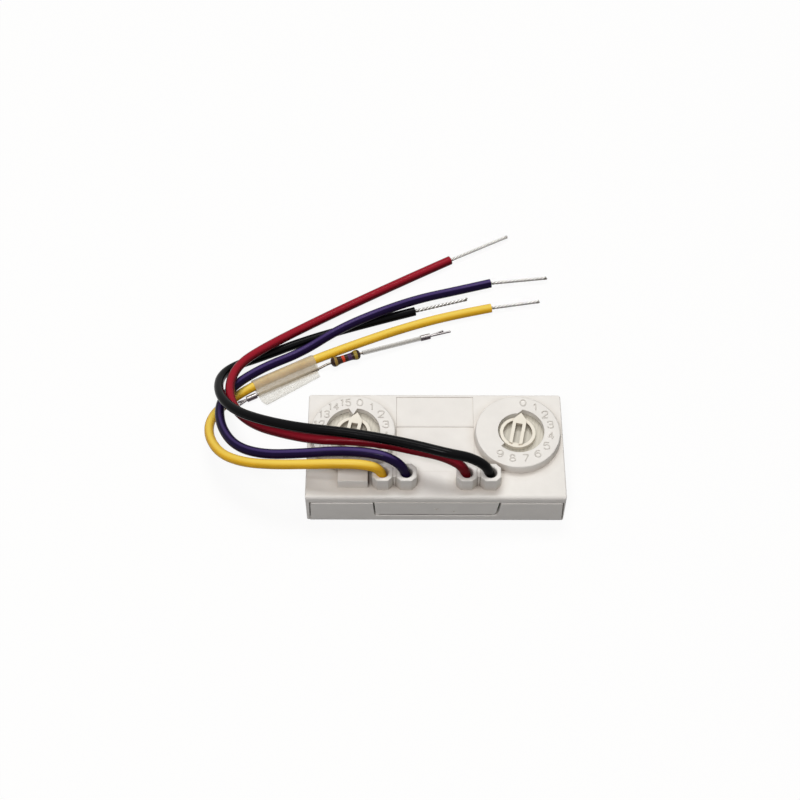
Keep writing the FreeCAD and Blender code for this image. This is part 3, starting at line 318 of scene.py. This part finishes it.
def laminate(name):
    """Board laminate: green mask over faint copper traces and woven glass."""
    mat, tree, shader = new_material(name)
    brick = tree.nodes.new("ShaderNodeTexBrick")
    brick.inputs["Scale"].default_value = 210
    brick.inputs["Mortar Size"].default_value = 0.03
    brick.inputs["Color1"].default_value = (0.02, 0.16, 0.06, 1)
    brick.inputs["Color2"].default_value = (0.025, 0.19, 0.075, 1)
    brick.inputs["Mortar"].default_value = (0.05, 0.28, 0.11, 1)
    tree.links.new(coordinates(tree), brick.inputs["Vector"])
    tree.links.new(brick.outputs["Color"], shader.inputs["Base Color"])
    rough = spread(tree, noise(tree, 700), 0.28, 0.42)
    tree.links.new(rough, shader.inputs["Roughness"])
    tree.links.new(bump(tree, brick.outputs["Fac"], 0.2, 0.00004), shader.inputs["Normal"])
    return mat


COVER_WHITE = (0.85, 0.835, 0.81)
KNOB_CREAM = (0.87, 0.83, 0.73)
# Painted shade: the darker colour of the knobs' sunk floors
KNOB_SUNK_SHADE = (0.60, 0.575, 0.50)
KNOB_SUNK_Z = 12.9
KNOB_SUNK_BLEND = 0.3
# A darker copy of the housing's white on the raised numerals: painted shade on the strokes
NUMERAL_SHADED_WHITE = (0.74, 0.725, 0.69)
SLEEVE_ALPHA = 0.46
# Each finish: its colour, then roughness, grain and the painted shade colour for a metal (its colour then is
# the painted highlight along its crest), or roughness and grain for a moulding, or the painted highlight
# colour along the crest, its span and the roughness for insulation
METALS = {
    "tinned_metal": ((0.34, 0.31, 0.27), 0.28, 0.04, (0.10, 0.075, 0.06)),
    "bare_conductor": ((0.80, 0.79, 0.76), 0.3, 0.04, (0.11, 0.10, 0.085)),
    "splice_metal": ((0.33, 0.31, 0.31), 0.3, 0.05, (0.09, 0.07, 0.08)),
    "contact_brass": ((0.78, 0.58, 0.27), 0.28),
    "solder": ((0.70, 0.70, 0.69), 0.34),
    "capacitor_can": ((0.82, 0.82, 0.83), 0.25),
    "crystal_can": ((0.76, 0.76, 0.77), 0.3),
}
MOULDED = {
    "switch_black": ((0.03, 0.03, 0.032), 0.4),
    "chip_black": ((0.025, 0.025, 0.027), 0.5, 0.15),
    "resistor_ceramic": ((0.03, 0.03, 0.035), 0.3),
    "capacitor_ceramic": ((0.42, 0.29, 0.16), 0.35),
    "pale_sleeve": ((0.90, 0.89, 0.85), 0.3),
    "housing_plastic": (COVER_WHITE,),
}
# Insulation: its colour, then the painted highlight colour along the crest, and for some its span and
# roughness
INSULATION = {
    "insulation_black": ((0.002, 0.002, 0.0025), (0.006, 0.006, 0.007)),
    "insulation_red": ((0.15, 0.003, 0.009), (0.36, 0.014, 0.030), (0.45, 1.0)),
    "insulation_violet": ((0.010, 0.004, 0.036), (0.075, 0.048, 0.18), (0.86, 1.0)),
    "insulation_yellow": ((0.93, 0.52, 0.030), (0.98, 0.71, 0.12), (0.60, 1.0), 0.18),
}
MATERIALS = {
    "knob_plastic": knob_plastic("knob_plastic", KNOB_CREAM, KNOB_SUNK_SHADE),
    "numeral_plastic": moulded_plastic("numeral_plastic", NUMERAL_SHADED_WHITE, edge=0.00005),
    "board_laminate": laminate("board_laminate"),
}
for make, finishes in ((metal, METALS), (moulded_plastic, MOULDED), (vinyl, INSULATION)):
    for name, values in finishes.items():
        MATERIALS[name] = make(name, *values)

MATERIALS["pale_sleeve"].node_tree.nodes["Principled BSDF"].inputs["Alpha"].default_value = SLEEVE_ALPHA

for part in frame["record"]["subparts"]:
    node = frame["nodes"][part["node"]]
    finish = MATERIALS.get(part["material_slot"])
    if finish:
        node.data.materials.clear()
        node.data.materials.append(finish)


# Leads: each route repeats the solids' route points

BLACK_ROUTE = [
    (14.575, BOSS_Y, WIRE_START_Z), (14.575, BOSS_Y, 17.8), (9.6, -10.2, 21.9), (2.8, -9.9, 23.7),
    (-6.0, -7.1, 23.5), (-16.0, -4.4, 22.9), (-26.0, -2.4, 22.5), (-36.5, -0.6, 21.6),
    (-47.0, 3.5, 19.0), (-55.0, 9.0, 15.4), (-60.2, 17.1, 11.1), (-61.2, 26.3, 6.4),
    (-57.6, 32.9, 2.9), (-49.5, 37.3, 1.4), (-38.5, 42.7, 1.4), (-21.8, 48.8, 1.4),
    (-5.3, 54.0, 1.4),
]
RED_ROUTE = [
    (8.225, BOSS_Y, WIRE_START_Z), (8.225, BOSS_Y, 18.2), (2.4, -9.0, 20.6), (-5.5, -6.6, 19.9),
    (-14.0, -4.2, 19.4), (-22.5, -3.0, 19.1), (-32.0, -2.9, 19.2), (-40.8, 0.2, 17.2),
    (-49.7, 5.4, 13.6), (-56.0, 13.1, 10.3), (-58.1, 22.2, 8.4), (-55.9, 30.5, 6.9),
    (-49.2, 37.5, 5.2), (-37.5, 47.5, 2.3), (-15.5, 61.7, 1.4), (5.5, 73.6, 1.4),
]
VIOLET_ROUTE = [
    (-7.875, BOSS_Y, WIRE_START_Z), (-7.875, BOSS_Y, 18.0), (-13.0, -9.2, 21.1), (-19.6, -7.7, 20.8),
    (-27.6, -6.9, 19.9), (-36.0, -6.9, 18.6), (-46.4, -5.6, 16.0), (-54.4, -1.0, 12.8),
    (-59.2, 7.5, 9.7), (-60.5, 16.9, 6.9), (-57.2, 24.7, 4.7), (-49.0, 32.3, 3.1),
    (-38.5, 38.7, 1.4), (-27.5, 45.1, 4.5), (-15.5, 51.3, 4.8), (-4.0, 57.6, 2.9),
    (7.0, 61.7, 1.4), (17.5, 64.7, 1.4),
]
YELLOW_ROUTE = [
    (-14.225, BOSS_Y, WIRE_START_Z), (-14.225, BOSS_Y, 17.8), (-19.4, -11.3, 20.4), (-27.0, -10.8, 19.8),
    (-35.0, -10.3, 18.7), (-43.5, -9.2, 16.7), (-52.0, -6.5, 13.5), (-59.0, -1.3, 9.7),
    (-63.1, 7.3, 5.9), (-62.9, 15.5, 2.9), (-57.9, 22.1, 1.6), (-50.5, 27.5, 1.7),
    (-35.0, 35.9, 1.7), (-17.5, 44.1, 1.4), (-5.5, 48.9, 1.4), (6.0, 52.6, 1.4),
    (17.4, 55.3, 1.4),
]
LEADS = {
    "black": (BLACK_ROUTE, (10.4, 58.0, 2.2), 0.1664),
    "red": (RED_ROUTE, (23.3, 83.1, 1.4), 0.1716),
    "violet": (VIOLET_ROUTE, (34.7, 66.8, 1.4), 0.1698),
    "yellow": (YELLOW_ROUTE, (31.9, 57.8, 1.4), 0.1639),
}
STRAND_R = 0.26
STRAND_RING_R = 0.27
STRAND_LAY = 3.6
STRANDS = 3
STRAND_STEP = 0.45
STRAND_STAGGER = 0.25
LOOSE_LENGTH, LOOSE_SHARE = 1.2, 0.3


def link(name, data, material):
    obj = bpy.data.objects.new(name, data)
    scene.collection.objects.link(obj)
    data.materials.append(material)
    return obj


def round_curve(name, radius, material, sides=6, steps=12):
    """An empty curve object whose splines get a round section."""
    curve = bpy.data.curves.new(name, "CURVE")
    curve.dimensions = "3D"
    curve.bevel_depth = radius * MM
    curve.bevel_resolution = sides
    curve.resolution_u = steps
    curve.use_fill_caps = True
    return link(name, curve, material)


def add_spline(obj, points, kind="NURBS"):
    spline = obj.data.splines.new(kind)
    spline.points.add(len(points) - 1)
    for place, point in zip(spline.points, points):
        place.co = (point[0] * MM, point[1] * MM, point[2] * MM, 1.0)
    if kind == "NURBS":
        spline.order_u = 3
        spline.use_endpoint_u = True


def across(axis):
    """Two unit vectors square to an axis."""
    side = axis.cross(Vector((0, 0, 1))).normalized()
    return side, side.cross(axis).normalized()


def stranded_end(name, start, tip, material):
    """A bare rope of three twisted bundles, slightly loose at the tip."""
    obj = round_curve(name, STRAND_R, material, sides=4, steps=3)
    start, tip = Vector(start), Vector(tip)
    axis = (tip - start).normalized()
    side, up = across(axis)
    length = (tip - start).length
    steps = int(length / STRAND_STEP)
    for k in range(STRANDS):
        points = []
        for i in range(steps + 1):
            along = length * i / steps
            turn = 2 * math.pi * (along / STRAND_LAY + k / STRANDS)
            near_tip = max(0.0, (along - length + LOOSE_LENGTH) / LOOSE_LENGTH)
            ring_r = STRAND_RING_R * (1 + LOOSE_SHARE * near_tip)
            points.append(start + axis * along + (side * math.cos(turn) + up * math.sin(turn)) * ring_r)
        points[-1] -= axis * (STRAND_STAGGER * k)
        add_spline(obj, points)
    return obj


for colour, (route, tip, length) in LEADS.items():
    lead = round_curve(colour + "_lead", WIRE_R, MATERIALS["insulation_" + colour])
    add_spline(lead, route)
    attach(lead, "housing")
    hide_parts(colour + "_wire")
    strands = stranded_end(colour + "_strands", route[-1], tip, MATERIALS["bare_conductor"])
    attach(strands, "housing")
    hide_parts(colour + "_wire_end")


# Numerals round the dials

def oval(cx, cy, rx, ry, count=16):
    turn = 2 * math.pi / count
    return [(cx + rx * math.sin(k * turn), cy + ry * math.cos(k * turn)) for k in range(count + 1)]


SIX = [
    (0.36, 0.42), (0.12, 0.5), (-0.25, 0.42), (-0.46, 0.1), (-0.47, -0.25), (-0.25, -0.5),
    (0.2, -0.5), (0.46, -0.32), (0.46, -0.05), (0.2, 0.12), (-0.2, 0.12), (-0.46, -0.12),
]
STROKES = {
    "0": [oval(0, 0, 0.47, 0.5)],
    "1": [[(-0.22, 0.28), (0.08, 0.5)], [(0.08, 0.5), (0.08, -0.5)]],
    "2": [
        [(-0.45, 0.2), (-0.42, 0.5), (0.05, 0.52), (0.48, 0.5), (0.48, 0.1), (0.1, -0.12), (-0.46, -0.5)],
        [(-0.46, -0.5), (0.48, -0.5)],
    ],
    "3": [
        [(-0.44, 0.34), (-0.3, 0.5), (0.1, 0.52), (0.42, 0.45), (0.42, 0.1), (0.1, 0.03), (-0.12, 0.03)],
        [(-0.12, 0.03), (0.2, 0.03), (0.48, -0.1), (0.48, -0.42), (0.15, -0.52), (-0.25, -0.5),
         (-0.47, -0.32)],
    ],
    "4": [[(0.2, -0.5), (0.2, 0.5)], [(0.2, 0.5), (-0.48, -0.2)], [(-0.48, -0.2), (0.5, -0.2)]],
    "5": [
        [(0.42, 0.5), (-0.36, 0.5)], [(-0.36, 0.5), (-0.42, 0.06)],
        [(-0.42, 0.06), (-0.1, 0.16), (0.3, 0.14), (0.48, -0.1), (0.46, -0.42), (0.1, -0.52), (-0.25, -0.5),
         (-0.47, -0.34)],
    ],
    "6": [SIX],
    "7": [[(-0.46, 0.5), (0.46, 0.5)], [(0.46, 0.5), (-0.12, -0.5)]],
    "8": [oval(0, 0.25, 0.36, 0.25), oval(0, -0.24, 0.46, 0.27)],
    "9": [[(-x, -y) for x, y in SIX]],
}
DIGIT_GAP = 0.45
PAIR_PITCH_SHARE, PAIR_WIDTH_SHARE = 0.8, 0.82
NUMERAL_LIFT = 0.06


def numerals(name, dial_x, last):
    """Raised single-stroke numerals, upright to a reader in front of the housing."""
    obj = round_curve(name, NUMERAL_STROKE, MATERIALS["numeral_plastic"], sides=2, steps=4)
    z = DISC_TOP_Z + NUMERAL_LIFT
    for number in range(last + 1):
        angle = math.radians(STEP_ANGLE * (number + 0.5))
        cx = dial_x + NUMERAL_R * math.sin(angle)
        cy = DIAL_Y + NUMERAL_SHIFT_Y + NUMERAL_R * math.cos(angle)
        text = str(number)
        pitch, width = NUMERAL_WIDTH + DIGIT_GAP, NUMERAL_WIDTH
        if len(text) == 2:
            cx += TWO_DIGIT_SHIFT_X
            pitch *= PAIR_PITCH_SHARE
            width *= PAIR_WIDTH_SHARE
        for place, digit in enumerate(text):
            digit_x = cx + (place - (len(text) - 1) / 2) * pitch
            for stroke in STROKES[digit]:
                points = [(digit_x + x * width, cy + y * NUMERAL_HEIGHT, z) for x, y in stroke]
                add_spline(obj, points, "POLY" if len(points) == 2 else "NURBS")
    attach(obj, "housing")


numerals("tens_numerals", -DIAL_X, 15)
numerals("ones_numerals", DIAL_X, 9)


# End-of-line resistor with its colour bands

RESISTOR_LEFT = Vector((-29.7, 34.9, 1.6))
RESISTOR_RIGHT = Vector((-21.3, 38.0, 2.0))
BAND_WOBBLE = 0.035
# Half of the body's outline: (distance from the end, radius)
PROFILE = [
    (0.00, 0.10), (0.02, 0.50), (0.18, 0.95), (0.50, 1.30), (0.95, 1.47), (1.45, 1.46), (1.95, 1.31),
    (2.45, 1.15), (3.20, 1.09), (4.45, 1.08),
]


def lathe(name, start, end, profile, material, sides=40):
    """A round solid along an axis; the profile lists (distance, radius) pairs."""
    axis = (end - start).normalized()
    side, up = across(axis)
    mesh = bmesh.new()
    rings = []
    for distance, radius in profile:
        ring = []
        for k in range(sides):
            turn = 2 * math.pi * k / sides
            place = start + axis * distance + (side * math.cos(turn) + up * math.sin(turn)) * radius
            ring.append(mesh.verts.new(place * MM))
        rings.append(ring)
    for ring, after in zip(rings, rings[1:]):
        for k in range(sides):
            mesh.faces.new((ring[k], ring[(k + 1) % sides], after[(k + 1) % sides], after[k]))
    mesh.faces.new(reversed(rings[0]))
    mesh.faces.new(rings[-1])
    bmesh.ops.recalc_face_normals(mesh, faces=mesh.faces)
    for face in mesh.faces:
        face.smooth = len(face.verts) == 4
    data = bpy.data.meshes.new(name)
    mesh.to_mesh(data)
    mesh.free()
    return link(name, data, material)


def banded_coating(name, start, end):
    """Dark brown coating with four bands, placed by the distance along the body."""
    mat, tree, shader = new_material(name)
    length = (end - start).length * MM
    axis = (end - start).normalized()
    place = tree.nodes.new("ShaderNodeVectorMath")
    place.operation = "SUBTRACT"
    place.inputs[1].default_value = start * MM
    tree.links.new(coordinates(tree), place.inputs[0])
    along = tree.nodes.new("ShaderNodeVectorMath")
    along.operation = "DOT_PRODUCT"
    along.inputs[1].default_value = axis / length
    tree.links.new(place.outputs["Vector"], along.inputs[0])
    wobble = maths(tree, "MULTIPLY", noise(tree, 520, 2), BAND_WOBBLE)
    wavy = maths(tree, "ADD", wobble, along.outputs["Value"])
    brown, gold = (0.034, 0.015, 0.009), (0.30, 0.19, 0.04)
    orange, violet, olive = (0.62, 0.05, 0.015), (0.07, 0.03, 0.10), (0.33, 0.24, 0.04)
    bands = [
        (0.0, brown), (0.13, gold), (0.225, brown), (0.385, orange), (0.475, brown),
        (0.59, violet), (0.72, brown), (0.80, olive), (0.90, brown),
    ]
    colour = ramp(tree, wavy, bands, constant=True)
    tree.links.new(colour, shader.inputs["Base Color"])
    tree.links.new(spread(tree, noise(tree, 1500), 0.2, 0.36), shader.inputs["Roughness"])
    tree.links.new(bump(tree, noise(tree, 900, 3), 0.12, 0.00015), shader.inputs["Normal"])
    shader.inputs["Specular IOR Level"].default_value = COATING_SPECULAR
    return mat


body_length = (RESISTOR_RIGHT - RESISTOR_LEFT).length
whole_profile = PROFILE + [(body_length - d, r) for d, r in reversed(PROFILE[:-1])]
coating = banded_coating("resistor_coating", RESISTOR_LEFT, RESISTOR_RIGHT)
resistor = lathe("resistor_body", RESISTOR_LEFT, RESISTOR_RIGHT, whole_profile, coating)
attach(resistor, "housing")
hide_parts("end_of_line_resistor")


# Adhesive tape folded round the yellow lead and the resistor's left lead

TAPE_LENGTH = 19.4
TAPE_START_X = -51.8
TAPE_STEPS = 97
TAPE_THICK = 0.09
# Half outlines across the tape: (distance in front of the lead, height), back round the yellow lead
TAPE_UNDER = [
    (6.4, 0.46), (5.4, 0.48), (4.5, 0.46), (3.8, 0.38), (3.2, 0.24), (2.2, 0.16), (1.2, 0.12), (0.3, 0.10),
    (-0.55, 0.24), (-1.2, 0.78), (-1.52, 1.45),
]
TAPE_OVER = [
    (-1.47, 2.15), (-1.06, 2.74), (-0.38, 3.15), (0.38, 3.17), (1.05, 2.84), (1.62, 2.32), (2.2, 1.82),
    (2.75, 1.50), (3.2, 1.30), (3.5, 1.02), (3.75, 0.70), (4.1, 0.60), (4.6, 0.61), (5.4, 0.63), (6.4, 0.60),
]
TAPE_SECTION = TAPE_UNDER + TAPE_OVER
FLAG_FROM = 3.8
TUBE_ALPHA, FLAG_ALPHA = 0.38, 0.22
FLAG_BLEND = 0.3
FLAG_SLANT = 1.1
FLAG_START_SHARE = 0.22
FLAG_LEAST = 0.06
FLAG_SETBACK = 0.8
FLAG_REACH_START, FLAG_REACH_END = 3.1, 2.2
FOLD_SLANT, FOLD_SLANT_FROM = 0.9, 2.2
FLAG_WAVE, FLAG_WAVE_RATE, FLAG_WAVE_WIDTH = 0.05, 0.48, 3.0


def tape_frame():
    start, end = Vector(YELLOW_ROUTE[11]), Vector(YELLOW_ROUTE[12])
    along = (end - start).normalized()
    start = start + along * ((TAPE_START_X - start.x) / along.x)
    return start, along, Vector((along.y, -along.x, 0))


def flag_reach(distance):
    """How far the flag reaches beyond the fold, at a distance along the tape: slanted, then cut square."""
    t = distance / TAPE_LENGTH
    reach = FLAG_REACH_START + (FLAG_REACH_END - FLAG_REACH_START) * t
    start = min(1.0, FLAG_START_SHARE + (1 - FLAG_START_SHARE) * distance / FLAG_SLANT)
    end = 0.0 if distance > TAPE_LENGTH - FLAG_SETBACK else 1.0
    return reach * math.sin(start * math.pi / 2) * end


def folded_tape():
    start, along, front = tape_frame()
    mesh = bmesh.new()
    rows = []
    for i in range(TAPE_STEPS + 1):
        distance = TAPE_LENGTH * i / TAPE_STEPS
        share = max(FLAG_LEAST, flag_reach(distance)) / (TAPE_UNDER[0][0] - FLAG_FROM)
        fold = FOLD_SLANT * (0.5 - i / TAPE_STEPS)
        row = []
        for u, z in TAPE_SECTION:
            beyond = max(0.0, u - FLAG_FROM)
            lean = fold * min(1.0, max(0.0, (u - FOLD_SLANT_FROM) / (FLAG_FROM - FOLD_SLANT_FROM)))
            u += beyond * (share - 1.0) + lean
            lift = FLAG_WAVE * math.sin(FLAG_WAVE_RATE * distance + u) * beyond / FLAG_WAVE_WIDTH
            place = start + along * distance + front * u
            row.append(mesh.verts.new(Vector((place.x, place.y, z + lift)) * MM))
        rows.append(row)
    for row, after in zip(rows, rows[1:]):
        for a, b, c, d in zip(row, row[1:], after[1:], after):
            mesh.faces.new((a, b, c, d)).smooth = True
    data = bpy.data.meshes.new("folded_tape")
    mesh.to_mesh(data)
    mesh.free()
    obj = link("folded_tape", data, tape_film())
    thick = obj.modifiers.new("thickness", "SOLIDIFY")
    thick.thickness = TAPE_THICK * MM
    thick.offset = 0
    return obj


def tape_film():
    """Cream adhesive film: cloudy and see-through, clearer and whiter on the flag, finely creased."""
    mat, tree, shader = new_material("tape_film")
    start, _, front = tape_frame()
    place = tree.nodes.new("ShaderNodeVectorMath")
    place.operation = "DOT_PRODUCT"
    place.inputs[1].default_value = front
    tree.links.new(coordinates(tree), place.inputs[0])
    fold_at = start.dot(front) + FLAG_FROM
    fold_span = (fold_at - FLAG_BLEND) * MM, (fold_at + FLAG_BLEND) * MM
    flag = mapped(tree, place.outputs["Value"], fold_span)
    cloud = noise(tree, 330, 5)
    tube_tint = mottled(tree, cloud, (0.66, 0.57, 0.41), (0.80, 0.72, 0.56))
    flag_tint = mottled(tree, cloud, (0.84, 0.82, 0.74), (0.92, 0.91, 0.84))
    tree.links.new(mixed(tree, flag, tube_tint, flag_tint), shader.inputs["Base Color"])
    alpha = mapped(tree, flag, (0.0, 1.0), (TUBE_ALPHA, FLAG_ALPHA))
    tree.links.new(alpha, shader.inputs["Alpha"])
    tree.links.new(spread(tree, noise(tree, 800), 0.34, 0.5), shader.inputs["Roughness"])
    tree.links.new(bump(tree, noise(tree, 700, 2), 0.08, 0.00012), shader.inputs["Normal"])
    return mat


tape = folded_tape()
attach(tape, "housing")
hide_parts("adhesive_tape")


# Floor, world and lamps

FILL_OVERHEAD = 0.50
FILL_TINT = (1.06, 0.98, 0.87)
FLOOR_BOUNCE = 0.22
SHADOW_SHARE = 0.10
LAMP_DISTANCE = 1.2
# Each lamp: level, size in metres along x and across, the way its light travels, and its tint
LAMPS = {
    "front_key": (0.36, (0.30, 0.30), (0.20, 0.52, -1.0), (1.0, 0.98, 0.99)),
    "back_lamp": (0.38, (0.60, 0.40), (0.0, -0.45, -1.0), (1.0, 1.0, 0.98)),
}


def seen_directly(tree):
    """1 for camera, glossy and transmission rays, and 0 for the rest."""
    path = tree.nodes.new("ShaderNodeLightPath")
    total = path.outputs["Is Camera Ray"]
    for name in ("Is Glossy Ray", "Is Transmission Ray"):
        total = maths(tree, "MAXIMUM", total, path.outputs[name])
    return total


def floor_material():
    mat = bpy.data.materials.new("floor")
    mat.use_nodes = True
    tree = mat.node_tree
    tree.nodes.clear()
    out = tree.nodes.new("ShaderNodeOutputMaterial")
    grey = tree.nodes.new("ShaderNodeBsdfDiffuse")
    grey.inputs["Color"].default_value = (FLOOR_BOUNCE,) * 3 + (1,)
    white = tree.nodes.new("ShaderNodeBsdfDiffuse")
    white.inputs["Color"].default_value = (1, 1, 1, 1)
    glow = tree.nodes.new("ShaderNodeEmission")
    glow.inputs["Color"].default_value = (1, 1, 1, 1)
    glow.inputs["Strength"].default_value = 1.0
    shadowed = tree.nodes.new("ShaderNodeMixShader")
    shadowed.inputs["Fac"].default_value = SHADOW_SHARE
    tree.links.new(glow.outputs["Emission"], shadowed.inputs[1])
    tree.links.new(white.outputs["BSDF"], shadowed.inputs[2])
    choose = tree.nodes.new("ShaderNodeMixShader")
    tree.links.new(seen_directly(tree), choose.inputs["Fac"])
    tree.links.new(grey.outputs["BSDF"], choose.inputs[1])
    tree.links.new(shadowed.outputs["Shader"], choose.inputs[2])
    tree.links.new(choose.outputs["Shader"], out.inputs["Surface"])
    return mat


FLOOR_REACH = 6.0
FLOOR_Z = -0.02 * MM
floor_data = bpy.data.meshes.new("floor")
floor_corners = [(x * FLOOR_REACH, y * FLOOR_REACH, FLOOR_Z) for x, y in ((-1, -1), (1, -1), (1, 1), (-1, 1))]
floor_data.from_pydata(floor_corners, [], [(0, 1, 2, 3)])
floor = link("floor", floor_data, floor_material())

def light_world():
    """A fill that comes from above only; mirrored and direct rays see plain white."""
    world = bpy.data.worlds.new("world")
    scene.world = world
    world.use_nodes = True
    tree = world.node_tree
    tree.nodes.clear()
    out = tree.nodes.new("ShaderNodeOutputWorld")
    fill = tree.nodes.new("ShaderNodeBackground")
    fill.inputs["Color"].default_value = FILL_TINT + (1,)
    height = tree.nodes.new("ShaderNodeSeparateXYZ")
    tree.links.new(tree.nodes.new("ShaderNodeTexCoord").outputs["Generated"], height.inputs["Vector"])
    above = maths(tree, "MAXIMUM", height.outputs["Z"], 0.0)
    squared = maths(tree, "MULTIPLY", above, above)
    tree.links.new(maths(tree, "MULTIPLY", squared, FILL_OVERHEAD), fill.inputs["Strength"])
    bright = tree.nodes.new("ShaderNodeBackground")
    bright.inputs["Color"].default_value = (1, 1, 1, 1)
    bright.inputs["Strength"].default_value = 1.0
    choose = tree.nodes.new("ShaderNodeMixShader")
    tree.links.new(seen_directly(tree), choose.inputs["Fac"])
    tree.links.new(fill.outputs["Background"], choose.inputs[1])
    tree.links.new(bright.outputs["Background"], choose.inputs[2])
    tree.links.new(choose.outputs["Shader"], out.inputs["Surface"])


def add_lamp(name, level, size, way, tint):
    data = bpy.data.lights.new(name, "AREA")
    data.shape = "RECTANGLE"
    data.size, data.size_y = size
    data.energy = level * (math.pi * LAMP_DISTANCE) ** 2
    data.color = tint
    lamp = bpy.data.objects.new(name, data)
    scene.collection.objects.link(lamp)
    lamp.visible_camera = False
    way = Vector(way).normalized()
    lamp.location = -way * LAMP_DISTANCE
    lamp.rotation_euler = way.to_track_quat("-Z", "Y").to_euler()


light_world()
for name, values in LAMPS.items():
    add_lamp(name, *values)
